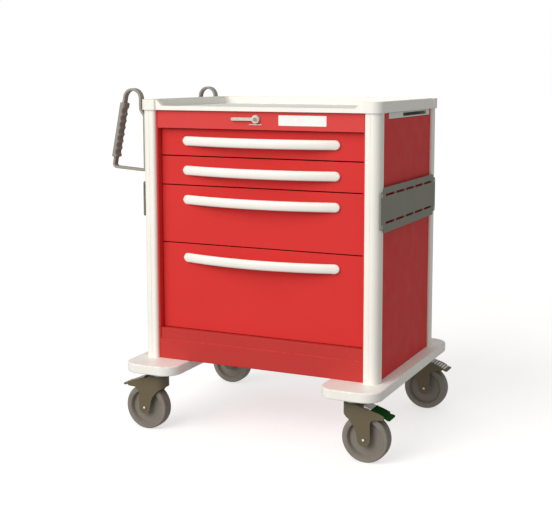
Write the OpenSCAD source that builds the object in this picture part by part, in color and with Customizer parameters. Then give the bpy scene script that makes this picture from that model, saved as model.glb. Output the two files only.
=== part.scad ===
// Crash cart: a four-drawer steel cabinet on two moulded base skirts with four swivel casters.
// X runs across the cart, Y from the drawer side to the back, Z up from the floor.
// The origin is on the floor, below the middle of the base.

/* [Cabinet] */
// Width over the steel side panels
cab_w = 642; // [620:2:700]
// Depth from the front frame to the back panel
cab_d = 436; // [430:1:440]
// How far the cabinet sits behind the middle of the base
cab_shift = 5.5; // [0:0.5:8]
// Width of the drawer opening
opening_w = 571; // [560:1:575]
// Sheet steel thickness
sheet = 1.5; // [1:0.5:2]

/* [Drawers] */
// Height of one drawer unit (3 inches)
unit = 76.2; // [70:0.1:80]
// How far the drawer fronts sit behind the front frame
front_recess = 18; // [14:1:20]
// Thickness of a drawer front
front_t = 16; // [12:1:16]
// Height of the kick panel
kick_h = 52.7; // [45:0.1:60]
// Height of the rail between the kick panel and the lowest drawer
rail_h = 29.2; // [25:0.1:32]
// Height of the header panel above the drawers
header_h = 46; // [44:1:50]

/* [Drawer pulls] */
// Length of a pull
pull_l = 438; // [380:1:450]
// Height of a pull
pull_h = 24; // [20:1:28]
// How far the middle of a pull stands in front of its drawer
pull_reach = 40; // [36:1:42]
// How far its ends stand in front of the drawer
pull_end = 5.5; // [4:0.5:8]

/* [Base and top] */
// Length of each base skirt, front to back
skirt_l = 595; // [580:1:620]
// Width of each base skirt
skirt_w = 156; // [150:1:160]
// Half the width over both skirts
skirt_out = 355.5; // [350:0.5:360]
// Thickness of the skirts
skirt_t = 24.5; // [20:0.5:30]
// Height of the underside of the skirts
skirt_z = 161.5; // [160:0.5:170]
// Height of the raised rim of the top
rim_h = 27; // [24:1:32]
// Height of the low front lip of the top
lip_h = 11; // [9:1:14]

/* [Casters] */
// Wheel diameter
wheel_d = 120; // [116:1:120]
// Wheel width
wheel_w = 32; // [28:1:34]
// Distance from the swivel axis to the axle
trail = 35; // [33:1:37]
// Swivel axis, sideways from the middle
swivel_x = 274; // [270:1:278]
// Swivel axis, forwards and backwards from the middle
swivel_y = 238; // [230:1:245]

/* [Hidden] */
eps = 0.01;
// Height of each drawer in units, from the top one down
drawer_units = [1, 1, 2, 3];
half_w = cab_w / 2;
half_open = opening_w / 2;
front_y = cab_shift - cab_d / 2;
back_y = cab_shift + cab_d / 2;
cab_z = skirt_z + skirt_t;
kick_z = cab_z + kick_h;
drawers_z = kick_z + rail_h;
stack_h = unit * (drawer_units[0] + drawer_units[1] + drawer_units[2] + drawer_units[3]);
header_z = drawers_z + stack_h - 3.8;
top_z = header_z + header_h;

// Corner posts: square outline, with a large outer radius, standing proud of the panels
post_side_t = 7.5;
post_front_t = 10;
post_w = 38.5;
post_d = 37.5;
post_r = 20;
post_x = half_w + post_side_t;
post_front_y = front_y - post_front_t;
post_back_y = back_y + post_front_t;

// Drawer running gear: three nested channels on each side
rail_t = 1.5;
rail_half_h = 21.5;
mid_half_h = 18.5;
inner_half_h = 15.5;
box_half_w = half_open - 13;
drawer_y = front_y + front_recess;
box_y = drawer_y + front_t;
box_back = back_y - 15;
wall = 1.2;
return_top = header_z + 2.5;

// Top: width of its rim, reach and length of its corner caps, and half the length of the low lip
rim_w = 15.5;
cap = 5;
cap_l = 48;
lip_end = 267;

// Lock, on the middle of the header
lock_z = top_z - 19.5;
crank_r = 20;
bar_h = 16;

// Sliding work shelf, through the right side panel
shelf_y0 = cab_shift - 141;
shelf_y1 = cab_shift + 184.5;
shelf_z = top_z - 17.2;
shelf_in = -250;
cup_y = cab_shift + 60.5;
cup_l = 190;
cup_d = 41;

// Side accessory plates
plate_z = top_z - 288;
plate_h = 110;
plate_t = 2.5;
plate_x = post_x + 0.2;
plate_y = cab_shift - 3.5;
slot_pitch = 75;
slot_l = 65;
plate_screw_y = 208;
plate_screw_z = [plate_z + 15.5, plate_z + 91.5];

// Push handles: flat bar bent in one plane
bar_t = 6.5;
bar_w = 18;
handle_y = 202.5;
leg_x = -post_x - bar_t / 2;
jog_x = leg_x - 11.75;
arch_r = 24.5;
arch_z = top_z + 27.5;
arch_x = jog_x - arch_r;
lean = 11.6;
foot_z = top_z - 162.5;
handle_bolt_z = [foot_z + 26, foot_z + 120];
grip_l = 146;
grip_z = foot_z + 108;

// Casters
wheel_r = wheel_d / 2;
tyre_t = 14;
fork_half = 24;
fork_t = 3;
hood_z = wheel_r + 85;
axle_r = 5;
tail = 89;
pedal_pin = [40, hood_z - 11];

DRAWERS = [0, 1, 2, 3];
SIDES = [["left", -1], ["right", 1]];
ENDS = [["front", -1], ["rear", 1]];
// Corner name, side and end
CASTERS = [["front_left", -1, -1], ["front_right", 1, -1], ["rear_left", -1, 1], ["rear_right", 1, 1]];

function units_below(i) = i >= 3 ? 0 : drawer_units[i + 1] + units_below(i + 1);
function drawer_bottom(i) = drawers_z + unit * units_below(i);
function drawer_top(i) = i == 0 ? header_z - 2 : drawer_bottom(i) + unit * drawer_units[i] - 1.5;
function slide_z(i) = drawer_bottom(i) + 34;

// Box given by its lowest and highest corners
module span(a, b) {
    translate(a) cube([b[0] - a[0], b[1] - a[1], b[2] - a[2]]);
}

// Rectangle with true round corners
module round_rect(x0, y0, x1, y1, r) {
    translate([x0 + r, y0]) square([x1 - x0 - 2 * r, y1 - y0]);
    translate([x0, y0 + r]) square([x1 - x0, y1 - y0 - 2 * r]);
    for (x = [x0 + r, x1 - r], y = [y0 + r, y1 - r]) translate([x, y]) circle(r, $fn = 96);
}

// Slot with round ends, centred on the origin
module slot(l, w) {
    square([l - w, w], center = true);
    for (side = [-1, 1]) translate([side * (l - w) / 2, 0]) circle(w / 2, $fn = 48);
}

// Extrude a drawing of X and Z along Y, from y0 to y1
module along_y(y0, y1) {
    translate([0, y1, 0]) rotate([90, 0, 0]) linear_extrude(y1 - y0) children();
}

// Extrude a drawing of Y and Z along X, from x0 to x1
module along_x(x0, x1) {
    translate([x0, 0, 0]) rotate([90, 0, 90]) linear_extrude(x1 - x0) children();
}

// Cylinder along X, from x0 to x1
module rod_x(x0, x1, r) {
    translate([x0, 0, 0]) rotate([0, 90, 0]) cylinder(h = x1 - x0, r = r, $fn = 48);
}

// Cylinder along Y, from y0 to y1
module rod_y(y0, y1, r) {
    translate([0, y0, 0]) rotate([-90, 0, 0]) cylinder(h = y1 - y0, r = r, $fn = 72);
}

// ---------- Cabinet shell ----------

module floor_pan() {
    color("firebrick")
    span([-half_w + sheet, front_y + sheet, cab_z], [half_w - sheet, back_y - sheet, cab_z + sheet]);
}

// One side of the shell: outer skin, front and rear flanges, and the returns that carry the rails
module side_shell() {
    span([half_w - sheet, front_y, cab_z], [half_w, back_y, top_z]);
    span([half_open, front_y, cab_z], [half_w - sheet + eps, front_y + sheet, top_z]);
    span([half_open, back_y - 2 * sheet, cab_z + sheet], [half_w - sheet + eps, back_y - sheet, top_z]);
    span([half_open, front_y + sheet - eps, cab_z + sheet], [half_open + sheet, front_y + 70, return_top]);
    span([half_open, back_y - 70, cab_z + sheet], [half_open + sheet, back_y - 2 * sheet + eps, return_top]);
}

module side_panel_left() {
    color("firebrick") mirror([1, 0, 0]) side_shell();
}

module side_panel_right() {
    color("firebrick")
    difference() {
        side_shell();
        span([half_w - 2 * sheet, shelf_y0, shelf_z], [half_w + 1, shelf_y1, top_z + 1]);
    }
}

module back_panel() {
    color("firebrick")
    span([-half_w + sheet, back_y - sheet, cab_z], [half_w - sheet, back_y, top_z]);
}

module header_panel() {
    color("indianred")
    difference() {
        union() {
            span([-half_open, front_y, header_z], [half_open, front_y + sheet, top_z]);
            span([-half_open, front_y, header_z], [half_open, front_y + 16.5, header_z + sheet]);
        }
        translate([0, 0, lock_z]) rod_y(front_y - 1, front_y + 3, 9.1);
    }
}

// Kick panel and lowest rail, folded from one sheet with a small step between them
module kick_rail() {
    step = 3;
    color("firebrick") {
        span([-half_open, front_y, cab_z + sheet], [half_open, front_y + sheet, kick_z]);
        span([-half_open, front_y, kick_z - sheet], [half_open, front_y + step + sheet, kick_z]);
        span([-half_open, front_y + step, kick_z - sheet], [half_open, front_y + step + sheet, drawers_z]);
        span([-half_open, front_y + step, drawers_z - sheet], [half_open, front_y + 30, drawers_z]);
    }
}

// ---------- Corner posts ----------

// Post outline with its outer corner at the origin, towards +X and +Y
module post_outline() {
    edge_r = 8;
    difference() {
        union() {
            translate([post_r, post_r]) circle(post_r, $fn = 96);
            translate([post_r, 0]) square([post_w - post_r - edge_r, post_front_t]);
            translate([post_r, edge_r]) square([post_w - post_r, post_front_t - edge_r]);
            translate([post_w - edge_r, edge_r]) circle(edge_r, $fn = 64);
            translate([0, post_r]) square([post_side_t, post_d - post_r - 6]);
            translate([6, post_d - 6]) circle(6, $fn = 64);
            translate([6, post_r]) square([post_side_t - 6, post_d - post_r]);
        }
        translate([post_side_t, post_front_t]) square([post_w, post_d]);
        translate([post_w - 16.6, -1]) square([1.2, 1.8]);
        translate([-1, post_d - 16.6]) square([1.8, 1.2]);
    }
}

// The post goes over the corner of the shell, so its outline is laid from the outer corner inwards
module post(side, end) {
    y = end < 0 ? post_front_y : post_back_y;
    translate([side * post_x, y, 0])
    mirror([side > 0 ? 1 : 0, 0, 0])
    mirror([0, end > 0 ? 1 : 0, 0])
    translate([0, 0, cab_z])
    linear_extrude(top_z - cab_z) post_outline();
}

module corner_post(side, end) {
    color("ivory")
    difference() {
        post(side, end);
        for (z = plate_screw_z)
            translate([0, plate_y + end * plate_screw_y, z]) side_hole(side, 2.7);
        if (side < 0) for (z = handle_bolt_z)
            translate([0, cab_shift + end * handle_y, z]) side_hole(side, 3.2);
    }
}

module side_hole(side, r) {
    if (side > 0) rod_x(half_w - 1, post_x + 1, r);
    if (side < 0) rod_x(-post_x - 1, -half_w + 1, r);
}

// ---------- Top ----------

module top_outline() {
    round_rect(-post_x, post_front_y, post_x, post_back_y, 22);
    for (side = [-1, 1], end = [-1, 1]) cap_outline(side, end);
}

// Corner of the top that caps a post
module cap_outline(side, end) {
    x = side * (post_x + cap);
    y = end < 0 ? post_front_y - cap : post_back_y + cap;
    intersection() {
        round_rect(min(x, x - side * 90), min(y, y - end * 90),
            max(x, x - side * 90), max(y, y - end * 90), 25);
        round_rect(min(x, x - side * cap_l), min(y, y - end * cap_l),
            max(x, x - side * cap_l), max(y, y - end * cap_l), 4.5);
    }
}

module top_tray() {
    color("white")
    difference() {
        translate([0, 0, top_z]) linear_extrude(rim_h) top_outline();
        translate([0, 0, top_z + 6.5]) linear_extrude(rim_h)
            round_rect(-post_x + rim_w, post_front_y + rim_w, post_x - rim_w, post_back_y - rim_w, 12);
        along_y(post_front_y - cap - 1, post_front_y + rim_w + 1)
            polygon([
                [-lip_end, top_z + lip_h], [lip_end, top_z + lip_h],
                [lip_end + rim_h, top_z + lip_h + rim_h], [-lip_end - rim_h, top_z + lip_h + rim_h]
            ]);
    }
}

// ---------- Base ----------

module base_skirt(side) {
    x0 = side > 0 ? skirt_out - skirt_w : -skirt_out;
    color("linen")
    translate([0, 0, skirt_z]) linear_extrude(skirt_t)
        round_rect(x0, -skirt_l / 2, x0 + skirt_w, skirt_l / 2, 44);
}

// ---------- Accessory plates and fasteners ----------

module plate_outline() {
    round_rect(plate_y - 196.5, plate_z, plate_y + 196.5, plate_z + plate_h, 5);
    round_rect(plate_y - 216.5, plate_z + 9, plate_y + 216.5, plate_z + plate_h - 10, 5);
}

module accessory_plate(side) {
    x0 = side > 0 ? plate_x : -plate_x - plate_t;
    color("dimgray")
    difference() {
        along_x(x0, x0 + plate_t) plate_outline();
        along_x(x0 - 1, x0 + plate_t + 1)
            for (row = [23.5, 91.5], i = [-2:2]) translate([plate_y + i * slot_pitch, plate_z + row])
                slot(slot_l, 6);
        for (end = [-1, 1], z = plate_screw_z)
            translate([0, plate_y + end * plate_screw_y, z]) rod_x(x0 - 1, x0 + plate_t + 1, 2.7);
    }
}

// Screw along X whose head lies on a face at x = face and whose shank points to the cabinet
module side_screw(side, face, shank, r, head_r, head_h) {
    mirror([side > 0 ? 0 : 1, 0, 0]) {
        rod_x(face, face + head_h, head_r);
        rod_x(face - shank, face + eps, r);
    }
}

module fasteners() {
    color("silver") {
        for (side = [-1, 1], end = [-1, 1], z = plate_screw_z)
            translate([0, plate_y + end * plate_screw_y, z])
                side_screw(side, plate_x + plate_t, 9.5, 2.5, 5, 2);
        for (end = [-1, 1], z = handle_bolt_z)
            translate([0, cab_shift + end * handle_y, z])
                side_screw(-1, post_x + bar_t, 13, 3, 6, 3.5);
    }
}

// ---------- Push handles ----------

// Unit vector across the run from a to b, to its left
function across(a, b) = [a[1] - b[1], b[0] - a[0]] / norm(b - a);

// Point of the loop p moved by d, square to the two runs that meet there
function beside(p, i, d) =
    let(n = across(p[(i + len(p) - 1) % len(p)], p[i]), m = across(p[i], p[(i + 1) % len(p)]))
    p[i] + d * (n + m) / (1 + n * m);

// Closed loop of bar, bent along the points of p in the X-Z plane
module bent_loop(p) {
    difference() {
        polygon([for (i = [0:len(p) - 1]) beside(p, i, -bar_t / 2)]);
        polygon([for (i = [0:len(p) - 1]) beside(p, i, bar_t / 2)]);
    }
}

// Point at height z on the leaning run that carries the grip
function lean_run(z) =
    let(a = 180 - lean, top = [arch_x + arch_r * cos(a), arch_z + arch_r * sin(a)])
    top - (top[1] - z) * [tan(lean), 1];

module handle_outline() {
    turn = 180 - lean;
    arch = [for (a = [0:turn / 24:turn]) [arch_x + arch_r * cos(a), arch_z + arch_r * sin(a)]];
    heel_z = foot_z + 9.5;
    bent_loop(concat(
        [[leg_x, foot_z + 3], [leg_x, top_z - 17], [jog_x, top_z]], arch,
        [lean_run(heel_z + 8), lean_run(heel_z) + [7, -0.5]]
    ));
}

module push_handle(end) {
    y = cab_shift + end * handle_y;
    color("slategray")
    difference() {
        along_y(y - bar_w / 2, y + bar_w / 2) handle_outline();
        for (z = handle_bolt_z) translate([0, y, z]) rod_x(leg_x - bar_t, leg_x + bar_t, 3.2);
    }
}

// Grip outline in its own frame: Z along the bar, finger scallops towards +X
module grip_outline() {
    difference() {
        round_rect(-7, -grip_l / 2, 8.5, grip_l / 2, 4);
        for (i = [-3:3]) translate([16.4, i * 18.25 - 3.5]) circle(12, $fn = 96);
    }
}

module handle_grips() {
    middle = lean_run(grip_z);
    t = bar_t / 2 + 0.1;
    w = bar_w / 2 + 0.1;
    color("gray")
    for (end = [-1, 1])
        translate([middle[0], cab_shift + end * handle_y, middle[1]]) rotate([0, lean, 0])
        difference() {
            along_y(-15, 15) grip_outline();
            span([-t, -w, -grip_l], [t, w, grip_l]);
        }
}

// ---------- Work shelf ----------

// Moulded shelf with a deeper outer end, notched for the finger cup
module work_shelf() {
    color("white")
    difference() {
        union() {
            span([half_w - 9, shelf_y0 + 1.5, shelf_z + 1], [half_w - 0.5, shelf_y1 - 1.5, top_z - 1.2]);
            span([shelf_in, shelf_y0 + 4.5, shelf_z + 3.7],
                [half_w - 9 + eps, shelf_y1 - 4.5, shelf_z + 13.7]);
        }
        span([half_w - cup_d - 0.2, cup_y - cup_l / 2 - 0.2, shelf_z + 3.5],
            [half_w + 1, cup_y + cup_l / 2 + 0.2, shelf_z + 13.9]);
    }
}

// Finger cup let into the end of the shelf: a long slot with round ends, closed at the back
module shelf_pull() {
    x = half_w - 0.5;
    color("darkslategray")
    difference() {
        span([half_w - cup_d, cup_y - cup_l / 2, shelf_z + 3.7], [x, cup_y + cup_l / 2, shelf_z + 13.7]);
        translate([0, cup_y, shelf_z + 8.7]) along_x(half_w - cup_d + 1, x + 1) slot(cup_l - 2, 8);
    }
}

module shelf_guides() {
    color("silver")
    for (end = [-1, 1]) {
        y = end < 0 ? shelf_y0 + 3.5 : shelf_y1 - 3.5;
        x0 = shelf_in;
        x1 = half_w - 10;
        span([x0, min(y, y + end * 1.5), shelf_z + 1.7], [x1, max(y, y + end * 1.5), top_z]);
        span([x0, min(y - end * 14, y + end * 1.5), shelf_z + 1.7],
            [x1, max(y - end * 14, y + end * 1.5), shelf_z + 3.2]);
        span([x0, min(y, y + end * 10), top_z - 1.5], [x1, max(y, y + end * 10), top_z]);
    }
}

// ---------- Lock ----------

module lock_housing() {
    color("silver")
    translate([0, 0, lock_z])
    difference() {
        union() {
            rod_y(front_y - 2.5, front_y, 11);
            rod_y(front_y - eps, front_y + 20, 9);
            translate([-19.5, front_y - 3, -14.8]) cube([36, 3, 2.4]);
            translate([-11.5, front_y - 2.5, -13]) cube([20, 2.5, 4]);
        }
        rod_y(front_y - 10, front_y + 30, 3.05);
    }
}

// Turning lever: hub, arm to the left and, inside the cabinet, the crank that moves the bar
module lock_lever() {
    y = front_y - 2.9;
    in_y = front_y + 20.5;
    color("lightgray")
    translate([0, 0, lock_z]) {
        rod_y(y - 3.6, y, 10.5);
        rod_y(y - 6, y - 3.6 + eps, 6);
        rod_y(y - eps, in_y + 3, 3);
        along_y(y - 4.4, y - 0.4) {
            translate([-64, -4]) square([60, 8]);
            translate([-64, 0]) circle(4, $fn = 48);
        }
        along_y(in_y, in_y + 3) {
            translate([0, -5]) square([crank_r, 10]);
            for (x = [0, crank_r]) translate([x, 0]) circle(5, $fn = 48);
        }
        translate([crank_r, 0, 0]) rod_y(in_y + 3 - eps, in_y + 8, 2.5);
    }
}

// Bar that the crank lifts: a strip behind the header and a leg down the right side
module lock_bar() {
    y = front_y + 24.5;
    color("silver")
    difference() {
        union() {
            span([-8, y, lock_z - bar_h / 2], [half_open + 6, y + 2, lock_z + bar_h / 2]);
            span([half_open + 4, y, drawers_z + 32], [half_open + 6, y + 12, lock_z + bar_h / 2]);
        }
        translate([crank_r - 0.7, y - 1, lock_z]) along_y(0, 4) slot(8.6, 6.8);
    }
}

module blank_plate() {
    color("whitesmoke")
    along_y(front_y - 1, front_y) round_rect(60, top_z - 34.5, 190.5, top_z - 7.5, 1.5);
}

// ---------- Drawers ----------

// Channel along Y, open towards the middle of the cart
module channel(x0, x1, h, y0, y1) {
    span([x1 - rail_t, y0, -h], [x1, y1, h]);
    span([x0, y0, h - rail_t], [x1, y1, h]);
    span([x0, y0, -h], [x1, y1, -h + rail_t]);
}

module both_sides() {
    children();
    mirror([1, 0, 0]) children();
}

module drawer_rails() {
    color("silver")
    for (i = DRAWERS) translate([0, 0, slide_z(i)]) both_sides()
        channel(half_open - 10, half_open, rail_half_h, box_y + 2, back_y - 6);
}

module slide_mid(i) {
    color("lightgray")
    translate([0, 0, slide_z(i)]) both_sides()
        channel(half_open - 10.5, half_open - 2.5, mid_half_h, box_y + 4, back_y - 25);
}

module drawer_box(i) {
    z0 = drawer_bottom(i) + 9.5;
    z1 = drawer_bottom(i) + unit * drawer_units[i] - 14;
    color("gainsboro") {
        difference() {
            span([-box_half_w, box_y, z0], [box_half_w, box_back, z1]);
            span([-box_half_w + wall, box_y + wall, z0 + wall],
                [box_half_w - wall, box_back - wall, z1 + 1]);
        }
        translate([0, 0, slide_z(i)]) both_sides()
        mirror([1, 0, 0]) channel(-half_open + 5, -box_half_w + eps, inner_half_h, box_y + 1, box_back - 10);
    }
}

module drawer_front(i) {
    color("crimson")
    span([-half_open + 1, drawer_y, drawer_bottom(i) + 1.5], [half_open - 1, box_y, drawer_top(i)]);
}

// Plan of a pull: a shallow arc whose ends run back to the drawer
module pull_plan() {
    half = pull_l / 2;
    sag = pull_reach - pull_end;
    r = (half * half + sag * sag) / (2 * sag);
    centre_y = drawer_y - pull_reach + r;
    foot = 22;
    intersection() {
        translate([0, centre_y]) circle(r, $fn = 720);
        translate([-half, drawer_y - 2 * pull_reach]) square([pull_l, 2 * pull_reach]);
        difference() {
            translate([-half, drawer_y - 2 * pull_reach]) square([pull_l, 2 * pull_reach]);
            intersection() {
                translate([0, centre_y]) circle(r - 12, $fn = 720);
                translate([-half + foot, drawer_y - pull_reach]) square([pull_l - 2 * foot, 2 * pull_reach]);
            }
        }
    }
}

module drawer_pull(i) {
    z = drawer_bottom(i) + unit * drawer_units[i] - 25 - pull_h;
    color("white")
    intersection() {
        translate([0, 0, z]) linear_extrude(pull_h) pull_plan();
        along_y(drawer_y - 2 * pull_reach, drawer_y)
            round_rect(-pull_l / 2, z, pull_l / 2, z + pull_h, pull_h / 2 - eps);
    }
}

// ---------- Casters ----------

// Everything on a caster is drawn with the swivel axis at the origin and the axle towards +X
module at_caster(c) {
    translate([c[1] * swivel_x, c[2] * swivel_y, 0]) rotate(c[1] > 0 ? 0 : 180) children();
}

module caster_mounts() {
    color("silver")
    for (c = CASTERS) at_caster(c) {
        translate([-32, -32, skirt_z - 3]) cube([64, 64, 3]);
        translate([0, 0, hood_z + 0.5]) cylinder(h = skirt_z - 3 - hood_z - 0.5 + eps, r = 20, $fn = 72);
        translate([0, 0, hood_z - 4]) cylinder(h = 5, r = 6, $fn = 48);
        translate([0, 0, hood_z - 8.5]) cylinder(h = 5, r = 10, $fn = 48);
    }
}

// Side view of the fork: hood that slopes down to a tail, tapered leg with a round end at the axle
module fork_side() {
    polygon([
        [-fork_half, hood_z], [14, hood_z], [36, hood_z - 5.5], [54, hood_z - 9.7], [72, hood_z - 15],
        [tail - 2, hood_z - 21.5], [tail - 2.5, hood_z - 28], [tail - 6, hood_z - 31], [62, hood_z - 32],
        [54.5, hood_z - 36], [trail + 16.7, hood_z - 43], [trail + 16.5, wheel_r], [trail - 16.5, wheel_r],
        [15, wheel_r + 18.5], [9, wheel_r + 32.5], [-4, wheel_r + 47.5], [-fork_half, hood_z - 26]
    ]);
    translate([trail, wheel_r]) circle(16.5, $fn = 72);
}

module fork_void_side() {
    polygon([
        [-fork_half, hood_z - fork_t], [13.5, hood_z - fork_t], [35.3, hood_z - 8.5], [53, hood_z - 12.8],
        [71, hood_z - 18], [tail - 5, hood_z - 24.5], [tail - 5, 0], [-fork_half, 0]
    ]);
}

module fork_plan(half, length) {
    circle(half, $fn = 96);
    translate([0, -half]) square([length, 2 * half]);
}

module caster_fork(c) {
    hinge_y = fork_half + 2;
    color("darkkhaki")
    at_caster(c)
    difference() {
        union() {
            difference() {
                intersection() {
                    linear_extrude(hood_z) fork_plan(fork_half, tail);
                    along_y(-fork_half, fork_half) fork_side();
                }
                intersection() {
                    linear_extrude(hood_z) fork_plan(fork_half - fork_t, tail - 5);
                    along_y(-fork_half, fork_half) fork_void_side();
                }
                span([pedal_pin[0] - 8, -fork_half + fork_t, 90],
                    [tail + 9, fork_half - fork_t, hood_z + 1]);
            }
            translate([trail, 0, wheel_r]) rod_y(-fork_half - 1.4, fork_half + 1.4, axle_r);
        }
        cylinder(h = hood_z + 1, r = 6.06, $fn = 48);
        translate([pedal_pin[0], 0, pedal_pin[1]]) rod_y(-hinge_y, hinge_y, 3.06);
    }
}

// Foot pedal that hinges between the sides of the hood and runs out past its tail
module brake_pedal(c) {
    color(c[0] == "front_right" ? "darkgreen" : "silver")
    at_caster(c) {
        along_y(-20.3, 20.3) {
            polygon([
                [33, hood_z + 0.3], [54, hood_z - 6.7], [86, hood_z - 20.5], [101.5, hood_z - 27],
                [100.5, hood_z - 31.5], [96, hood_z - 31.5], [54, hood_z - 13.2], [33, hood_z - 6]
            ]);
            translate(pedal_pin) circle(6, $fn = 48);
        }
        translate([pedal_pin[0], 0, pedal_pin[1]]) rod_y(-fork_half - 0.6, fork_half + 0.6, 3);
    }
}

module wheel_turned(c) {
    at_caster(c) translate([trail, 0, wheel_r]) rotate([90, 0, 0]) rotate_extrude($fn = 180) children();
}

// Tread ring with rounded shoulders
module tyre(c) {
    color("dimgray")
    wheel_turned(c)
        round_rect(wheel_r - tyre_t, -wheel_w / 2, wheel_r, wheel_w / 2, 4);
}

// Hub: full-width rim that slopes in to a thin web, and a boss that turns on the axle
module wheel_hub(c) {
    rim_r = wheel_r - tyre_t - 0.1;
    half = wheel_w / 2 - 1;
    web = 6;
    color("gray")
    wheel_turned(c)
    polygon([
        [axle_r + 0.06, -20], [13, -20], [14, -web], [rim_r - 4.5, -web], [rim_r - 1, -half],
        [rim_r, -half], [rim_r, half], [rim_r - 1, half], [rim_r - 4.5, web], [14, web],
        [13, 20], [axle_r + 0.06, 20]
    ]);
}

floor_pan();
side_panel_left();
side_panel_right();
back_panel();
header_panel();
kick_rail();
top_tray();
for (s = SIDES) base_skirt(s[1]);
for (c = CASTERS) corner_post(c[1], c[2]);
for (s = SIDES) accessory_plate(s[1]);
fasteners();
for (e = ENDS) push_handle(e[1]);
handle_grips();
work_shelf();
shelf_pull();
shelf_guides();
lock_housing();
lock_lever();
lock_bar();
blank_plate();
drawer_rails();
for (i = DRAWERS) drawer_box(i);
for (i = DRAWERS) drawer_front(i);
for (i = DRAWERS) drawer_pull(i);
for (i = DRAWERS) slide_mid(i);
for (c = CASTERS) caster_fork(c);
for (c = CASTERS) tyre(c);
for (c = CASTERS) wheel_hub(c);
for (c = CASTERS) brake_pedal(c);
caster_mounts();
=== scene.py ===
"""The crash cart's looks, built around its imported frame.
Lengths are millimetres, and metres for the floor, the lights and the camera."""

from math import cos, pi, radians, sin, sqrt, tan

import bmesh
import bpy
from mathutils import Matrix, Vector


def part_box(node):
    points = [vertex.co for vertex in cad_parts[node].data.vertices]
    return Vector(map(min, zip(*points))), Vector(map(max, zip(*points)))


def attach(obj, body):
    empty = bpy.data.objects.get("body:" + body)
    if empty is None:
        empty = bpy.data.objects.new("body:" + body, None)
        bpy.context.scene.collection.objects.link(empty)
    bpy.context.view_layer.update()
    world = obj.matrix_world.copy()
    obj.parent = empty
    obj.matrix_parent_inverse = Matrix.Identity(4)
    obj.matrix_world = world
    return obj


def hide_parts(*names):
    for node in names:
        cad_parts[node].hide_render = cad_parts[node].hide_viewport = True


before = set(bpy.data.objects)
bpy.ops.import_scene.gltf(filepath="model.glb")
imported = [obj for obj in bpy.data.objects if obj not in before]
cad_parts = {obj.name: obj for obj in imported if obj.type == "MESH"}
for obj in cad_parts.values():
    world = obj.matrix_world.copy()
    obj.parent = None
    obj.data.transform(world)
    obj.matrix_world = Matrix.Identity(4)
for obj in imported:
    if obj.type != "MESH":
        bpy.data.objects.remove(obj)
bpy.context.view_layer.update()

MM = 0.001
CORNERS = ("front_left", "front_right", "rear_left", "rear_right")
DRAWERS = (1, 2, 3, 4)
# From a caster's swivel axis: how far out its axle is, and where its pedal's pin is (out, up)
TRAIL = 35
PEDAL_PIN = (40, 134)
# Edges sharper than these, in degrees, are rounded on a copy of a CAD node, and are shaded as crisp
ROUNDED_EDGE = 40
CRISP_EDGE = 32
# Faces larger than this, in square metres, are shaded flat
BROAD_FACE = 0.0015


# ---------- Measures taken from the frame ----------

def box_mm(node):
    """Lowest and highest corner of a CAD node, in millimetres."""
    low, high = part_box(node)
    return low / MM, high / MM


def sides_of(corner):
    """(-1 or 1 for left or right, -1 or 1 for front or rear) of a corner's name."""
    end, side = corner.split("_")
    return (1 if side == "right" else -1), (1 if end == "rear" else -1)


# ---------- Materials ----------

def srgb(red, green, blue):
    """Linear colour of an 8-bit display colour."""
    def linear(value):
        value /= 255
        return value / 12.92 if value <= 0.04045 else ((value + 0.055) / 1.055) ** 2.4
    return (linear(red), linear(green), linear(blue), 1.0)


def scaled(colour, factor):
    """The colour made lighter or darker."""
    return (*(min(1.0, channel * factor) for channel in colour[:3]), 1.0)


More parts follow.
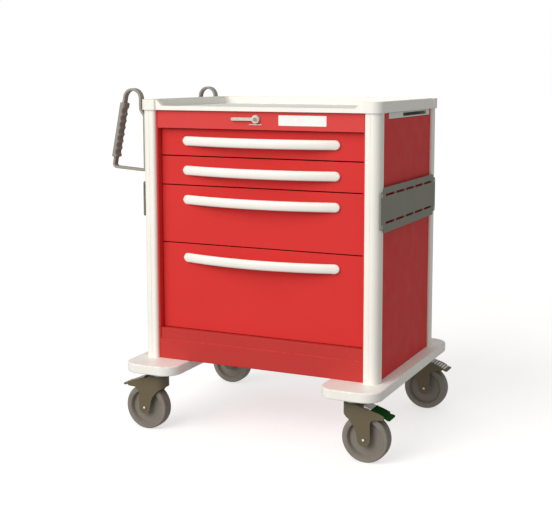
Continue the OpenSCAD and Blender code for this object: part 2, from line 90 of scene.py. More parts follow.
class Finish:
    """One material's node tree, with the few kinds of node that the finishes are made of.
    The settings are shader inputs by name, with _ for a space."""

    def __init__(self, name, **settings):
        self.material = bpy.data.materials.new(name)
        self.material.use_nodes = True
        self.tree = self.material.node_tree
        self.shader = self.tree.nodes["Principled BSDF"]
        for socket, value in settings.items():
            self.shader.inputs[socket.replace("_", " ")].default_value = value
        self.place = self.add("ShaderNodeTexCoord").outputs["Object"]

    def add(self, kind, **properties):
        node = self.tree.nodes.new(kind)
        for key, value in properties.items():
            setattr(node, key, value)
        return node

    def feed(self, socket, value):
        """A plain value is set on the socket, and an output is linked to it."""
        if isinstance(value, bpy.types.NodeSocket):
            self.tree.links.new(value, socket)
        else:
            socket.default_value = value

    def noise(self, size, detail=2.0, stretch=(1, 1, 1)):
        """Noise whose blotches are about size millimetres across, drawn out along an axis by stretch."""
        mapping = self.add("ShaderNodeMapping")
        self.feed(mapping.inputs["Vector"], self.place)
        mapping.inputs["Scale"].default_value = [1 / s for s in stretch]
        node = self.add("ShaderNodeTexNoise")
        self.feed(node.inputs["Vector"], mapping.outputs[0])
        node.inputs["Scale"].default_value = 1 / (size * MM)
        node.inputs["Detail"].default_value = detail
        return node.outputs["Fac"]

    def cells(self, size):
        """Distance to the nearest of scattered points that are about size millimetres apart."""
        node = self.add("ShaderNodeTexVoronoi")
        self.feed(node.inputs["Vector"], self.place)
        node.inputs["Scale"].default_value = 1 / (size * MM)
        return node.outputs["Distance"]

    def span(self, value, low, high, start=0.3, stop=0.7):
        """value, which runs from start to stop, brought to the span from low to high."""
        node = self.add("ShaderNodeMapRange")
        self.feed(node.inputs["Value"], value)
        for socket, number in (("From Min", start), ("From Max", stop), ("To Min", low), ("To Max", high)):
            node.inputs[socket].default_value = number
        return node.outputs["Result"]

    def sum(self, first, second, operation="ADD"):
        node = self.add("ShaderNodeMath", operation=operation)
        self.feed(node.inputs[0], first)
        self.feed(node.inputs[1], second)
        return node.outputs[0]

    def mix(self, factor, first, second):
        node = self.add("ShaderNodeMix", data_type="RGBA")
        self.feed(node.inputs["Factor"], factor)
        self.feed(node.inputs["A"], first)
        self.feed(node.inputs["B"], second)
        return node.outputs["Result"]

    def edge(self):
        """1 on rounded edges and 0 elsewhere, broken up in patches so that the edge colour comes and goes."""
        node = self.add("ShaderNodeAttribute", attribute_name="edge")
        patches = self.span(self.noise(14, 4), 0, 1, 0.42, 0.62)
        return self.sum(node.outputs["Fac"], patches, "MULTIPLY")

    def colour(self, value):
        self.feed(self.shader.inputs["Base Color"], value)

    def rough(self, value):
        self.feed(self.shader.inputs["Roughness"], value)

    def bump(self, *layers):
        """Each layer is (height output, depth in millimetres)."""
        normal = None
        for height, depth in layers:
            node = self.add("ShaderNodeBump")
            node.inputs["Strength"].default_value = 1.0
            node.inputs["Distance"].default_value = depth * MM
            self.feed(node.inputs["Height"], height)
            if normal is not None:
                self.feed(node.inputs["Normal"], normal)
            normal = node.outputs["Normal"]
        self.feed(self.shader.inputs["Normal"], normal)


def powder_coat(name, base, gloss=0.3, peel=1.8, depth=0.008, **settings):
    """Baked powder coat: slow shade drift, orange peel, and a paler edge that is partly rubbed paint and
    partly a painted highlight.
    """
    f = Finish(name, **settings)
    drift = f.span(f.noise(160, 3), 0, 1)
    body = f.mix(drift, scaled(base, 0.975), scaled(base, 1.02))
    flecks = f.span(f.noise(0.9, 1), 0, 0.35, 0.55, 0.75)
    body = f.mix(flecks, body, scaled(base, 0.9))
    # Paler rounded edges: rubbed paint, and a painted highlight along them.
    f.colour(f.mix(f.edge(), body, scaled(base, 1.25)))
    f.rough(f.sum(f.span(f.noise(45, 4), gloss - 0.05, gloss + 0.07), f.span(f.noise(2.5), 0, 0.05)))
    f.bump((f.noise(peel, 2), depth), (f.noise(peel / 4, 1), depth / 5))
    return f.material


def moulded(name, base, gloss=0.4, grain=0.6, depth=0.006, **settings):
    """Moulded plastic: faint flow streaks and a fine spark-eroded grain."""
    f = Finish(name, **settings)
    flow = f.span(f.noise(70, 3, stretch=(1, 1, 3)), 0, 1)
    body = f.mix(flow, scaled(base, 0.975), scaled(base, 1.02))
    f.colour(f.mix(f.edge(), body, scaled(base, 0.88)))
    f.rough(f.span(f.noise(25, 5), gloss - 0.07, gloss + 0.09))
    f.bump((f.cells(grain), depth), (f.noise(9, 2), depth * 1.5))
    return f.material


def rubber(name, base, gloss=0.62, grain=0.8, depth=0.02, **settings):
    """Rubber: a matt, slightly chalky skin with fine pores."""
    f = Finish(name, **settings)
    body = f.mix(f.span(f.noise(30, 4), 0, 1), scaled(base, 0.9), scaled(base, 1.08))
    chalk = f.span(f.noise(6, 5), 0, 0.5, 0.5, 0.75)
    f.colour(f.mix(chalk, body, scaled(base, 1.25)))
    f.rough(f.span(f.noise(12, 4), gloss - 0.06, gloss + 0.12))
    f.bump((f.noise(grain, 3), depth), (f.cells(grain * 3), depth / 3))
    return f.material


def metal(name, base, gloss=0.3, along=(1, 1, 30), spangle=12, metallic=1.0, **settings):
    """Rolled or plated metal: fine drawing lines along one axis over a faint spangle."""
    f = Finish(name, Metallic=metallic, **settings)
    patches = f.span(f.cells(spangle), 0, 1, 0.1, 0.8)
    body = f.mix(patches, scaled(base, 0.88), scaled(base, 1.06))
    lines = f.noise(0.5, 2, stretch=along)
    f.colour(f.mix(f.span(lines, 0, 0.5), body, scaled(base, 0.78)))
    f.rough(f.sum(f.span(f.noise(18, 4), gloss - 0.05, gloss + 0.08), f.span(lines, 0, 0.1)))
    f.bump((lines, 0.012), (f.noise(7, 3), 0.01))
    return f.material


RED_SHEEN = {"gloss": 0.42, "Specular_IOR_Level": 0.08}
WHEEL_GREY = srgb(130, 123, 114)

MATERIALS = {
    "red_paint": powder_coat("red_paint", srgb(211, 55, 53), **RED_SHEEN),
    # A lighter, pinker copy of the red paint for the header: painted sheen, as the header stands forward and
    # catches more light.
    "header_red_painted_sheen": powder_coat("header_red_painted_sheen", srgb(212, 71, 69), **RED_SHEEN),
    # A darker copy of the red paint for the kick rail: painted shade low on the cart.
    "kick_red_painted_shade": powder_coat("kick_red_painted_shade", srgb(189, 59, 56), **RED_SHEEN),
    "white_plastic": moulded("white_plastic", srgb(238, 236, 230), gloss=0.42),
    "white_post": powder_coat("white_post", srgb(243, 240, 233), gloss=0.38, peel=1.4, depth=0.006),
    "grey_plate": powder_coat(
        "grey_plate", srgb(136, 136, 125), gloss=0.6, peel=0.8, depth=0.01, Specular_IOR_Level=0.15
    ),
    "steel": metal("steel", srgb(200, 202, 203), gloss=0.34),
    "handle_grey": powder_coat("handle_grey", srgb(150, 144, 135), gloss=0.42, peel=1.2),
    "grip_rubber": rubber("grip_rubber", srgb(142, 138, 131)),
    "white_laminate": moulded("white_laminate", srgb(226, 226, 220), gloss=0.36, grain=1.6, depth=0.01),
    # The cup's grey is far lighter than its real mid-grey plastic: painted light that lifts its shaded
    # hollow.
    "cup_grey": moulded("cup_grey", srgb(205, 202, 192), gloss=0.5),
    "lock_metal": metal(
        "lock_metal", srgb(206, 199, 188), gloss=0.3, along=(30, 1, 1), spangle=5, metallic=0.6
    ),
    "label_white": moulded("label_white", srgb(240, 240, 238), gloss=0.25, grain=2.5, depth=0.004),
    "drawer_steel": powder_coat("drawer_steel", srgb(206, 208, 210), gloss=0.45, peel=1.2, depth=0.008),
    "fork_bronze": powder_coat(
        "fork_bronze", srgb(104, 93, 72), gloss=0.42, peel=1.0, Specular_IOR_Level=0.3
    ),
    "tread_grey": rubber("tread_grey", WHEEL_GREY, gloss=0.55, Specular_IOR_Level=0.3),
    "hub_grey": moulded("hub_grey", WHEEL_GREY, gloss=0.5, grain=1.0, Specular_IOR_Level=0.3),
    "pedal_green": moulded(
        "pedal_green", srgb(0, 62, 2), gloss=0.55, grain=0.9, depth=0.01, Specular_IOR_Level=0.05
    ),
    "rivet_zinc": moulded("rivet_zinc", srgb(240, 241, 242), gloss=0.25, depth=0.002),
    "pedal_steel": metal("pedal_steel", srgb(232, 233, 232), gloss=0.4, along=(30, 1, 1)),
}


# ---------- Pieces ----------

PIECES = []


def smooth(mesh):
    """Smooth shading, with sharp edges left crisp and broad faces flat."""
    mesh.shade_smooth()
    mesh.set_sharp_from_angle(angle=radians(CRISP_EDGE))
    for face in mesh.polygons:
        if face.area > BROAD_FACE:
            face.use_smooth = False


def piece(name, bm, slot, body, *nodes, material=None):
    """A finished mesh becomes an object that rides on body and stands for nodes.
    It takes the slot's material, or another shade of it that is given."""
    bmesh.ops.remove_doubles(bm, verts=bm.verts, dist=1e-7)
    bmesh.ops.recalc_face_normals(bm, faces=bm.faces)
    mesh = bpy.data.meshes.new(name)
    bm.to_mesh(mesh)
    bm.free()
    smooth(mesh)
    made = bpy.data.objects.new(name, mesh)
    bpy.context.scene.collection.objects.link(made)
    mesh.materials.append(material or MATERIALS[slot])
    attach(made, body)
    if nodes:
        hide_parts(*nodes)
    PIECES.append(made)


def settle_normals():
    """Shading that follows the large faces, so that flat faces stay flat beside their rounded edges."""
    for made in PIECES:
        made.modifiers.new("normals", "WEIGHTED_NORMAL").keep_sharp = True
    depsgraph = bpy.context.evaluated_depsgraph_get()
    settled = [
        bpy.data.meshes.new_from_object(
            made.evaluated_get(depsgraph), preserve_all_data_layers=True, depsgraph=depsgraph
        )
        for made in PIECES
    ]
    for made, mesh in zip(PIECES, settled):
        made.modifiers.clear()
        made.data = mesh


def new_mesh():
    """Empty mesh whose faces can carry the mark that the finishes colour their rounded edges by."""
    bm = bmesh.new()
    bm.faces.layers.float.new("edge")
    return bm


def mark_edges(bm, faces):
    """The faces are marked as rounded edges."""
    layer = bm.faces.layers.float["edge"]
    for face in faces:
        face[layer] = 1.0


def softened(node, width, segments):
    """Copy of a CAD node's mesh with its sharp edges rounded to the given width."""
    bm = new_mesh()
    bm.from_mesh(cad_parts[node].data)
    bmesh.ops.remove_doubles(bm, verts=bm.verts, dist=1e-6)
    bmesh.ops.dissolve_limit(bm, angle_limit=radians(0.5), verts=bm.verts, edges=bm.edges)
    edges = [e for e in bm.edges if e.is_manifold and e.calc_face_angle() > radians(ROUNDED_EDGE)]
    made = bmesh.ops.bevel(
        bm, geom=edges, offset=width * MM, segments=segments, profile=0.5, affect="EDGES", clamp_overlap=True
    )
    mark_edges(bm, made["faces"])
    return bm


def soft_copy(node, slot, body, width, segments=3, material=None):
    """Piece with a CAD node's shape and rounded edges, which stands for that node."""
    piece(f"{node}_shown", softened(node, width, segments), slot, body, node, material=material)


def join(*parts):
    """One bmesh of several, which are freed."""
    whole = parts[0]
    for part in parts[1:]:
        mesh = bpy.data.meshes.new("part")
        part.to_mesh(mesh)
        part.free()
        whole.from_mesh(mesh)
        bpy.data.meshes.remove(mesh)
    return whole


def ring_of(bm, points):
    """Vertices at the points, which are in millimetres."""
    return [bm.verts.new(Vector(p) * MM) for p in points]


def bridge(bm, first, second, closed=True):
    """Faces between two rows of vertices, and across their ends if they are closed."""
    count = len(first)
    return [
        bm.faces.new((first[i], first[(i + 1) % count], second[(i + 1) % count], second[i]))
        for i in range(count if closed else count - 1)
    ]


def loft(bm, rows):
    """A skin over rows of vertices, with both ends closed."""
    for one, two in zip(rows, rows[1:]):
        bridge(bm, one, two)
    bm.faces.new(rows[0][::-1])
    bm.faces.new(rows[-1])


def arc(x, y, r, start, stop, steps):
    """Points on a circle from angle start to stop, in degrees."""
    angles = [radians(start + (stop - start) * i / steps) for i in range(steps + 1)]
    return [(x + r * cos(a), y + r * sin(a)) for a in angles]


def round_rect(x0, y0, x1, y1, r, steps=10):
    """Counter-clockwise rectangle with rounded corners."""
    return [
        *arc(x1 - r, y0 + r, r, -90, 0, steps), *arc(x1 - r, y1 - r, r, 0, 90, steps),
        *arc(x0 + r, y1 - r, r, 90, 180, steps), *arc(x0 + r, y0 + r, r, 180, 270, steps),
    ]


def inset(outline, d):
    """The counter-clockwise outline moved inwards by d."""
    count, inner = len(outline), []
    for i, (x, y) in enumerate(outline):
        (ax, ay), (bx, by) = outline[i - 1], outline[(i + 1) % count]
        one = Vector((y - ay, ax - x)).normalized()
        two = Vector((by - y, x - bx)).normalized()
        push = (one + two) / (1 + one.dot(two))
        inner.append((x - push.x * d, y - push.y * d))
    return inner


def prism(outline, low, high, place, round_low=0.0, round_high=0.0, steps=4):
    """A counter-clockwise outline drawn out from low to high, with its two rims rounded in steps.
    place(u, v, w) gives the point in the frame."""
    bm = new_mesh()
    levels = []
    for r, end, sign in ((round_low, low, 1), (round_high, high, -1)):
        angles = [pi / 2 * i / steps for i in range(steps + 1)] if r else [pi / 2]
        rim = [(r * (1 - sin(a)), end + sign * r * (1 - cos(a))) for a in angles]
        levels.append(rim if sign > 0 else rim[::-1])
    rows = []
    for d, w in levels[0] + levels[1]:
        path = inset(outline, d) if d > 1e-9 else outline
        rows.append(ring_of(bm, [place(u, v, w) for u, v in path]))
    for i, (lower, upper) in enumerate(zip(rows, rows[1:])):
        faces = bridge(bm, lower, upper)
        if i != len(levels[0]) - 1:
            mark_edges(bm, faces)
    bm.faces.new(rows[0][::-1])
    bm.faces.new(rows[-1])
    return bm


def upright(u, v, w):
    """Outline in X and Y, drawn out along Z."""
    return (u, v, w)


def facing(u, v, w):
    """Outline in X and Z, drawn out towards the drawer side."""
    return (u, -w, v)


def lathe(profile, place, steps=64, closed=False):
    """Solid turned from (radius, height) points. place(x, y, h) gives the point in the frame.
    A closed profile is a ring with a bore; an open one starts and ends on the axis."""
    bm = bmesh.new()
    rows = []
    for i in range(steps):
        c, s = cos(2 * pi * i / steps), sin(2 * pi * i / steps)
        rows.append(ring_of(bm, [place(r * c, r * s, h) for r, h in profile]))
    for i in range(steps):
        bridge(bm, rows[i], rows[(i + 1) % steps], closed=closed)
    bmesh.ops.remove_doubles(bm, verts=bm.verts, dist=1e-7)
    return bm


def sweep(path, section):
    """A section of (inwards, along Y) points carried round a closed path of (x, z) points."""
    bm = bmesh.new()
    rows = []
    for i, (x, z) in enumerate(path):
        before, after = path[i - 1], path[(i + 1) % len(path)]
        run = Vector((after[0] - before[0], after[1] - before[1])).normalized()
        across = Vector((-run.y, run.x))
        rows.append(ring_of(bm, [(x + across.x * a, b, z + across.y * a) for a, b in section]))
    for i, row in enumerate(rows):
        bridge(bm, row, rows[(i + 1) % len(rows)])
    return bm


def filleted(points, radii, steps=8):
    """The corners of a closed path rounded to the given radii."""
    path, count = [], len(points)
    for i, (point, r) in enumerate(zip(points, radii)):
        if r == 0:
            path.append(point)
            continue
        p, a, b = Vector(point), Vector(points[i - 1]), Vector(points[(i + 1) % count])
        one, two = (a - p).normalized(), (b - p).normalized()
        half = one.angle(two) / 2
        centre = p + (one + two).normalized() * (r / sin(half))
        start = p + one * (r / tan(half)) - centre
        stop = p + two * (r / tan(half)) - centre
        turn = start.angle(stop)
        for k in range(steps + 1):
            t = k / steps
            spoke = (start * sin((1 - t) * turn) + stop * sin(t * turn)) / sin(turn)
            path.append(tuple(centre + spoke))
    return path


def signed_power(value, power):
    """A power that keeps the value's sign. Powers below 1 make a round section squarer."""
    return (1 if value > 0 else -1) * abs(value) ** power


def moved(bm, y):
    """The mesh moved along Y."""
    bmesh.ops.translate(bm, verts=bm.verts, vec=(0, y * MM, 0))
    return bm


# ---------- Cabinet ----------

def cabinet():
    for side in ("left", "right"):
        soft_copy(f"side_panel_{side}", "red_paint", "cart", 0.6, segments=2)
    soft_copy("floor_pan", "red_paint", "cart", 0.5, segments=2)
    soft_copy("back_panel", "red_paint", "cart", 0.5, segments=2)
    # The header takes the lighter copy of the red paint: painted sheen.
    soft_copy("header_panel", "red_paint", "cart", 0.6, segments=2, material=MATERIALS["header_red_painted_sheen"])
    # The kick rail takes the darker copy of the red paint, as painted shade. Its edges are rounded wider so
    # that their paler edge colour shows as a painted highlight along its top.
    soft_copy("kick_rail", "red_paint", "cart", 1.0, material=MATERIALS["kick_red_painted_shade"])


def post_outline():
    """Outline from the post's outer corner: wrap radius, a fine groove on each face, rounded ends."""
    front_t, side_t, width, depth, radius = 10, 7.5, 38.5, 37.5, 20
    front_end, side_end = 8, 6
    groove, groove_near, groove_far = 0.8, 15.4, 16.6
    return [
        *arc(radius, radius, radius, 180, 270, 20),
        (width - groove_far, 0), (width - groove_far, groove),
        (width - groove_near, groove), (width - groove_near, 0),
        *arc(width - front_end, front_end, front_end, 270, 360, 12),
        (width, front_t), (side_t, front_t), (side_t, depth),
        *arc(side_end, depth - side_end, side_end, 90, 180, 12),
        (0, depth - groove_near), (groove, depth - groove_near),
        (groove, depth - groove_far), (0, depth - groove_far),
    ]


def posts():
    for corner in CORNERS:
        side, end = sides_of(corner)
        low, high = box_mm(f"post_{corner}")
        x = high.x if side > 0 else low.x
        y = high.y if end > 0 else low.y
        bm = prism(post_outline(), low.z, high.z, lambda u, v, w: (x - side * u, y - end * v, w))
        piece(f"corner_post_{corner}", bm, "white_post", "cart", f"post_{corner}")


def top_and_base():
    soft_copy("top_tray", "white_plastic", "cart", 1.6, segments=4)
    for side in ("left", "right"):
        low, high = box_mm(f"base_skirt_{side}")
        outline = round_rect(low.x, low.y, high.x, high.y, 44, steps=20)
        bm = prism(outline, low.z, high.z, upright, round_low=3, round_high=4, steps=6)
        piece(f"skirt_{side}", bm, "white_plastic", "cart", f"base_skirt_{side}")


# ---------- Side plates, screws and handles ----------

def side_plates():
    for side in ("left", "right"):
        soft_copy(f"accessory_plate_{side}", "grey_plate", "cart", 0.5, segments=2)


def screw(x, y, z, side, head_r, head_h, shank):
    """Button-head screw on a side face, with a round socket."""
    socket_r, socket_d, brink = head_r * 0.42, head_h * 0.6, head_h * sin(radians(66))
    dome = [(head_r * cos(t), head_h * sin(t)) for t in [radians(10 * i) for i in range(7)]]
    profile = [(0, -shank), (head_r * 0.5, -shank), (head_r * 0.5, 0), (head_r, 0), *dome[1:]]
    profile += [(socket_r, brink), (socket_r, head_h - socket_d), (0, head_h - socket_d)]
    return lathe(profile, lambda a, b, h: (x + side * h, y + a, z + b), steps=36)


def fasteners():
    """Four screws on each side plate, and two bolts through each push handle's leg."""
    plate_low, plate_high = box_mm("accessory_plate_right")
    tray_z = box_mm("top_tray")[0].z
    middle = (plate_low.y + plate_high.y) / 2
    screw_y, screw_heights = 208, (15.5, 91.5)
    bolt_x, bolt_depths = -335, (136.5, 42.5)
    screws = []
    for side in (-1, 1):
        face = side * plate_high.x
        for end in (-1, 1):
            y = middle + end * screw_y
            for height in screw_heights:
                screws.append(screw(face, y, plate_low.z + height, side, head_r=5, head_h=2, shank=6))
    for name in ("front", "rear"):
        low, high = box_mm(f"push_handle_{name}")
        y = (low.y + high.y) / 2
        for depth in bolt_depths:
            screws.append(screw(bolt_x, y, tray_z - depth, -1, head_r=6, head_h=3.5, shank=8))
    piece("screws", join(*screws), "steel", "cart", "fasteners")


def push_handles():
    """Flat bar bent into a closed loop: a leg on the post, an arch and a leaning run for the grip."""
    thick, wide, lean, arch_r = 6.5, 18, 11.6, 24.5
    leg_x, jog_x, jog_h = -331.75, -343.5, 17
    foot_z, jog_z, arch_z, run_foot_z, grip_z = 684, 843.5, 871, 690.5, 789
    turn = arc(jog_x - arch_r, arch_z, arch_r, 0, 180 - lean, 28)
    start = Vector(turn[-1])
    down = Vector((-sin(radians(lean)), -cos(radians(lean))))

    def run(z):
        """Point of the leaning run at height z."""
        return start + down * ((start.y - z) / -down.y)

    corners = [(leg_x, foot_z), (leg_x, jog_z - jog_h), (jog_x, jog_z), *turn, tuple(run(run_foot_z))]
    radii = [6, 14, 14, *[0] * len(turn), 9]
    section = round_rect(-thick / 2, -wide / 2, thick / 2, wide / 2, 1.4, steps=4)
    grips = []
    for name in ("front", "rear"):
        low, high = box_mm(f"push_handle_{name}")
        y = (low.y + high.y) / 2
        bm = moved(sweep(filleted(corners, radii), section), y)
        piece(f"handle_bar_{name}", bm, "handle_grey", "cart", f"push_handle_{name}")
        grips.append(grip(run(grip_z), -down, y))
    piece("grips", join(*grips), "grip_rubber", "cart", "handle_grips")


def grip(middle, along, y):
    """Rubber grip with seven finger scallops on the side that faces the cart."""
    length, half_w, outer, inner, rim = 146, 15, 7, 8.5, 1.6
    scallop_r, scallop_out, pitch, offset = 12, 16.4, 18.25, 3.5
    count, sides = 170, 44
    across = Vector((along.y, -along.x))
    bm = bmesh.new()
    rows = []
    for i in range(count + 1):
        t = (i / count - 0.5) * length
        dips = [scallop_r ** 2 - (t + offset - pitch * k) ** 2 for k in range(-3, 4)]
        reach = min([scallop_out - sqrt(d) for d in dips if d > 0] + [inner])
        end = min(1.0, (length / 2 - abs(t)) / rim)
        shrink = rim * (1 - sqrt(max(0.0, 1 - (1 - end) ** 2)))
        ring = []
        for k in range(sides):
            a = 2 * pi * k / sides
            u = ((reach if cos(a) > 0 else outer) - shrink) * signed_power(cos(a), 0.5)
            v = (half_w - shrink) * signed_power(sin(a), 0.4)
            point = middle + along * t + across * u
            ring.append((point.x, y + v, point.y))
        rows.append(ring_of(bm, ring))
    loft(bm, rows)
    return bm


# ---------- Work shelf ----------

def work_shelf():
    soft_copy("work_shelf", "white_laminate", "shelf", 1.0, segments=3)
    # The pull's cup takes a grey that is painted lighter than its plastic, as painted light in its shaded
    # hollow.
    soft_copy("shelf_pull", "cup_grey", "shelf", 0.4, segments=2)
    soft_copy("shelf_guides", "steel", "cart", 0.3, segments=1)


# ---------- Lock and label ----------

def lock():
    """Cam lock: a rosette over a thin strip on the header, and a lever whose round head holds the core."""
    front = box_mm("header_panel")[0].y
    low, high = box_mm("lock_lever")
    hub_x, hub_z = 0, (low.z + high.z) / 2

    def on_front(a, b, h):
        return (hub_x + a, front - h, hub_z + b)

    rosette = lathe([(0, -2), (9, -2), (9, 0), (11, 0), (11, 1.8), (10.3, 2.5), (0, 2.5)], on_front)
    strip = round_rect(hub_x - 19.5, hub_z - 14.8, hub_x + 16.5, hub_z - 12.4, 1)
    strip = prism(strip, -front - 0.2, -front + 3, facing, round_high=0.6)
    piece("lock_rosette", join(rosette, strip), "lock_metal", "cart", "lock_housing")
    soft_copy("lock_lever", "lock_metal", "lever", 1.1, segments=4)
    core = [(0, 8.4), (4.4, 8.4), (4.4, 9.2), (4, 9.6), (1.2, 9.6), (1.2, 8.8), (0, 8.8)]
    piece("lock_core", lathe(core, on_front, steps=48), "grey_plate", "lever")
    soft_copy("lock_bar", "steel", "bolt_bar", 0.4, segments=2)
    low, high = box_mm("blank_plate")
    outline = round_rect(low.x + 1.2, low.z + 0.2, high.x - 1, high.z - 1, 2)
    bm = prism(outline, -high.y, -low.y, facing, round_high=0.5)
    piece("label_plate", bm, "label_white", "cart", "blank_plate")


# ---------- Drawers ----------

def drawer_front(i):
    low, high = box_mm(f"drawer_front_{i}")
    outline = round_rect(low.x, low.z, high.x, high.z, 0.6, steps=3)
    bm = prism(outline, -high.y, -low.y, facing, round_low=0.5, round_high=0.7, steps=4)
    piece(f"front_{i}", bm, "red_paint", f"drawer_{i}", f"drawer_front_{i}")


def drawer_pull(i):
    """Bowed bar pull: an arc in plan, with a rounded section and half-round ends that land on the front."""
    low, high = box_mm(f"drawer_pull_{i}")
    face = box_mm(f"drawer_front_{i}")[0].y
    half, tall = (high.x - low.x) / 2, (high.z - low.z) / 2
    middle = (low.z + high.z) / 2
    reach, end_reach, bar = face - low.y, 5.5, 12
    sag = reach - end_reach
    bow = (half ** 2 + sag ** 2) / (2 * sag)
    # The rows are evenly spaced over most of the length, and close up towards the ends
    even, count, sides = 0.8, 120, 36
    spread = (half - tall) * even
    bm = bmesh.new()
    rows = []
    for k in range(count + 1):
        t = 2 * k / count - 1
        past = abs(t) - even
        x = (half - tall) * abs(t) if past < 0 else spread + (half - spread) * sin(pi / 2 * past / (1 - even))
        x *= 1 if t > 0 else -1
        front = reach - (bow - sqrt(bow ** 2 - x ** 2))
        back = max(0.0, front - bar)
        end = max(0.0, abs(x) - (half - tall)) / tall
        height = tall * sqrt(max(0.0, 1 - end ** 2))
        depth = (front - back) / 2
        ring = []
        for j in range(sides):
            a = 2 * pi * j / sides
            v = depth * signed_power(cos(a), 0.9)
            w = max(height, 0.4) * signed_power(sin(a), 0.95)
            ring.append((x, face - (front + back) / 2 - v, middle + w))
        rows.append(ring_of(bm, ring))
    loft(bm, rows)
    piece(f"pull_{i}", bm, "white_plastic", f"drawer_{i}", f"drawer_pull_{i}")


def drawers():
    soft_copy("drawer_rails", "steel", "cart", 0.3, segments=1)
    for i in DRAWERS:
        drawer_front(i)
        drawer_pull(i)
        soft_copy(f"drawer_box_{i}", "drawer_steel", f"drawer_{i}", 0.4, segments=2)
        soft_copy(f"slide_mid_{i}", "steel", f"slide_{i}", 0.3, segments=1)


# ---------- Casters ----------

def wheel_centre(corner):
    low, high = box_mm(f"tyre_{corner}")
    return (low + high) / 2


def wheel_piece(name, corner, slot, profile, *nodes):
    """Ring turned about the axle from (radius, distance from the wheel's middle plane) points."""
    centre = wheel_centre(corner)
    bm = lathe(profile, lambda a, b, h: (centre.x + a, centre.y + h, centre.z + b), steps=128, closed=True)
    piece(name, bm, slot, f"wheel_{corner}", *nodes)


def tyre(corner):
    """Tread with a slight crown, rounded shoulders and a fine step where the side wall starts."""
    low, high = box_mm(f"tyre_{corner}")
    r, half, bore = (high.z - low.z) / 2, (high.y - low.y) / 2, 46
    shoulder, rise = 4, 0.5
    flat = half - shoulder
    crown = [(r - rise * t ** 2, flat * t) for t in [k / 6 - 1 for k in range(13)]]
    top = arc(r - rise - shoulder, flat, shoulder, 0, 90, 8)
    upper = [*top[1:], (50.5, half), (50.2, half - 0.5), (49.2, half - 0.5), (48.9, half), (bore, half)]
    lower = [(x, -h) for x, h in upper[::-1]]
    wheel_piece(f"tread_{corner}", corner, "tread_grey", lower + crown + upper, f"tyre_{corner}")


def hub(corner):
    """Hub with a rim, a sloping wall down to the web, and a stepped boss."""
    low, high = box_mm(f"wheel_hub_{corner}")
    reach = (high.y - low.y) / 2
    rim, web, half = 45.9, 6, 15
    side = [
        (5.06, reach), (12.4, reach), (13, reach - 0.6), (13.4, web + 3), (15, web + 0.8), (17, web),
        (rim - 6, web), (rim - 4.6, web + 0.6), (rim - 1.4, half - 0.5), (rim - 0.8, half), (rim, half),
    ]
    profile = side + [(r, -h) for r, h in side[::-1]]
    wheel_piece(f"hub_{corner}", corner, "hub_grey", profile, f"wheel_hub_{corner}")


def rod_ends(corner, place, reach, r, dome):
    """The two domed ends of a rod along Y. place is its (x, z), and reach where the domes stop."""
    x, z = place
    middle, base = wheel_centre(corner).y, reach - dome
    cap = [(r * cos(t), dome * sin(t)) for t in [radians(15 * i) for i in range(7)]]
    profile = [(0, -2.5), (r, -2.5), *cap]
    heads = [
        lathe(profile, lambda a, b, h: (x + a, middle + end * (base + h), z + b), steps=32)
        for end in (-1, 1)
    ]
    return join(*heads)


def axle_rivets(corner):
    centre = wheel_centre(corner)
    low, high = box_mm(f"caster_fork_{corner}")
    proud = 0.9
    rivets = rod_ends(corner, (centre.x, centre.z), (high.y - low.y) / 2 + proud, 3, 1.2)
    piece(f"axle_rivets_{corner}", rivets, "steel", f"fork_{corner}", material=MATERIALS["rivet_zinc"])


def pedal_place(corner):
    """(x of the swivel axis, which way the pedal points along X) of a caster."""
    centre = wheel_centre(corner)
    out = 1 if centre.x > 0 else -1
    return centre.x - out * TRAIL, out


def pedal_part(corner, outline, half_w, rounding=0.8):
    """Outline in (distance outwards from the swivel axis, height), drawn out across the caster."""
    pivot, out = pedal_place(corner)
    y = wheel_centre(corner).y

    def place(u, v, w):
        return (pivot + out * u, y + w, v)

    return prism(outline, -half_w, half_w, place, round_low=rounding, round_high=rounding, steps=3)


def ridged(start, stop, count, height):
    """Points of a top with rounded ridges from start to stop."""
    start, stop = Vector(start), Vector(stop)
    pitch = (stop - start) / count
    up = Vector((pitch.y, -pitch.x)).normalized() * height
    profile = [(0.1, 0), (0.25, 0.8), (0.5, 1), (0.75, 0.8), (0.9, 0)]
    return [tuple(start + pitch * (k + t) + up * h) for k in range(count) for t, h in profile]


def ribs(corner, start, stop, count):
    """Bars across a pedal, from start to stop along its top."""
    start, stop = Vector(start), Vector(stop)
    gap, rise, sink, half_w = 0.2, 1.3, 0.6, 18.6
    pitch = (stop - start) / count
    up = Vector((pitch.y, -pitch.x)).normalized()
    bars = []
    for k in range(count):
        foot, crest = start + pitch * (k + gap), start + pitch * (k + 1 - gap)
        outline = [foot - up * sink, crest - up * sink, crest + up * rise, foot + up * rise]
        bars.append(pedal_part(corner, [tuple(p) for p in outline], half_w, rounding=0.5))
    return join(*bars)


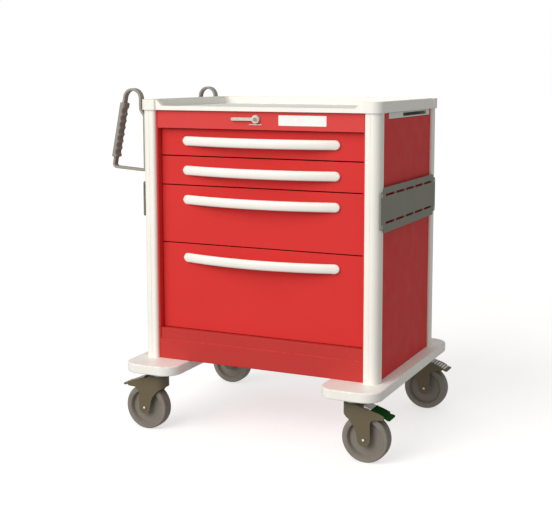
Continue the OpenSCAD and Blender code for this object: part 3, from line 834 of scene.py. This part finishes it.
def pedal(corner):
    """Foot pedal: a green ridged pad at the front right, and bright bars on a bronze plate elsewhere."""
    body, node = f"pedal_{corner}", f"brake_pedal_{corner}"
    if corner == "front_right":
        under = [
            (52, 134.6), (52.5, 132.5), (86, 118.6), (94, 113.9),
            (100.2, 113.9), (101.2, 117.6), (97, 119.6), (88.4, 120.9),
        ]
        pad = under + ridged((86.4, 123.6), (52.5, 137), 6, 1.6)
        root = [(33.2, 139), (54, 132), (54, 137), (34, 144.6)]
        piece(f"pedal_pad_{corner}", pedal_part(corner, pad, 20), "pedal_green", body, node)
        piece(f"pedal_root_{corner}", pedal_part(corner, root, 19.6), "pedal_steel", body)
    else:
        nose = arc(98.2, 116.6, 2.9, -110, 100, 8)
        plate = [(33.4, 139), (54, 131.9), (94, 114.3), *nose, (93, 119.6), (36, 142.7)]
        piece(f"pedal_plate_{corner}", pedal_part(corner, plate, 20), "fork_bronze", body, node)
        piece(f"pedal_bars_{corner}", ribs(corner, (94, 119.2), (38, 141.9), 8), "pedal_steel", body)
    pivot, out = pedal_place(corner)
    ends = rod_ends(corner, (pivot + out * PEDAL_PIN[0], PEDAL_PIN[1]), 24.5, 3, 0.8)
    piece(f"pedal_pin_{corner}", ends, "fork_bronze", body)


def casters():
    soft_copy("caster_mounts", "steel", "cart", 0.6, segments=2)
    for corner in CORNERS:
        soft_copy(f"caster_fork_{corner}", "fork_bronze", f"fork_{corner}", 0.4, segments=2)
        tyre(corner)
        hub(corner)
        axle_rivets(corner)
        pedal(corner)


# ---------- Stage ----------

def floor():
    """Pale floor, faintly lit from within so that shadows on it stay light."""
    bm = bmesh.new()
    bmesh.ops.create_grid(bm, x_segments=1, y_segments=1, size=40)
    mesh = bpy.data.meshes.new("floor")
    bm.to_mesh(mesh)
    bm.free()
    made = bpy.data.objects.new("floor", mesh)
    bpy.context.scene.collection.objects.link(made)
    glow = {"Emission_Color": (1, 1, 1, 1), "Emission_Strength": 0.62}
    f = Finish("floor", Roughness=0.9, Specular_IOR_Level=0.1, **glow)
    f.colour(f.mix(f.span(f.noise(400, 3), 0, 1), srgb(188, 188, 187), srgb(194, 194, 193)))
    mesh.materials.append(f.material)
    made.visible_diffuse = False
    made.visible_glossy = False


def sun(name, azimuth, elevation, strength, softness, colour):
    """Distant light. Azimuth 0 shines from the drawer side, and 90 from the right."""
    data = bpy.data.lights.new(name, "SUN")
    data.energy = strength
    data.angle = radians(softness)
    data.color = colour
    made = bpy.data.objects.new(name, data)
    bpy.context.scene.collection.objects.link(made)
    a, e = radians(azimuth), radians(elevation)
    back = Vector((sin(a) * cos(e), -cos(a) * cos(e), sin(e)))
    made.rotation_euler = back.to_track_quat("Z", "Y").to_euler()


def lamp(name, place, aim, size, watts, colour):
    """Round soft box."""
    data = bpy.data.lights.new(name, "AREA")
    data.shape = "DISK"
    data.size = size
    data.energy = watts
    data.color = colour
    made = bpy.data.objects.new(name, data)
    bpy.context.scene.collection.objects.link(made)
    made.location = place
    made.rotation_euler = (Vector(aim) - Vector(place)).to_track_quat("-Z", "Y").to_euler()


def studio():
    """Soft key light from the drawer side, a broad overhead one and a front lamp.
    The surround is pale, and the camera sees it as white."""
    world = bpy.data.worlds.new("studio")
    bpy.context.scene.world = world
    world.use_nodes = True
    nodes, links = world.node_tree.nodes, world.node_tree.links
    ambient = nodes["Background"]
    ambient.inputs["Color"].default_value = (1.0, 1.0, 0.98, 1.0)
    ambient.inputs["Strength"].default_value = 0.42
    seen = nodes.new("ShaderNodeBackground")
    seen.inputs["Color"].default_value = (1.0, 1.0, 1.0, 1.0)
    seen.inputs["Strength"].default_value = 1.0
    mix = nodes.new("ShaderNodeMixShader")
    links.new(nodes.new("ShaderNodeLightPath").outputs["Is Camera Ray"], mix.inputs["Fac"])
    links.new(ambient.outputs[0], mix.inputs[1])
    links.new(seen.outputs[0], mix.inputs[2])
    links.new(mix.outputs[0], nodes["World Output"].inputs["Surface"])
    sun("key", -25, 31, 1.75, 50, (1.0, 0.97, 0.93))
    sun("overhead", 20, 78, 0.3, 70, (1.0, 1.0, 0.98))
    lamp("front", (-0.3, -1.8, 1.3), (0, -0.2, 0.8), 0.9, 8, (1.0, 0.98, 0.95))


def camera():
    """The camera stands to the right of the drawers, a little above the top, and looks slightly down."""
    data = bpy.data.cameras.new("camera")
    data.sensor_width = 36
    data.lens = 70.63
    data.shift_x, data.shift_y = -0.0266, -0.1058
    data.clip_end = 200
    made = bpy.data.objects.new("camera", data)
    bpy.context.scene.collection.objects.link(made)
    made.location = (1.2026, -2.6258, 0.9372)
    made.rotation_euler = (radians(90 - 6.96), 0, radians(24.67))
    bpy.context.scene.camera = made


cabinet()
posts()
top_and_base()
side_plates()
fasteners()
push_handles()
work_shelf()
lock()
drawers()
casters()
settle_normals()
floor()
studio()
camera()
bpy.context.scene.view_settings.view_transform = "Standard"
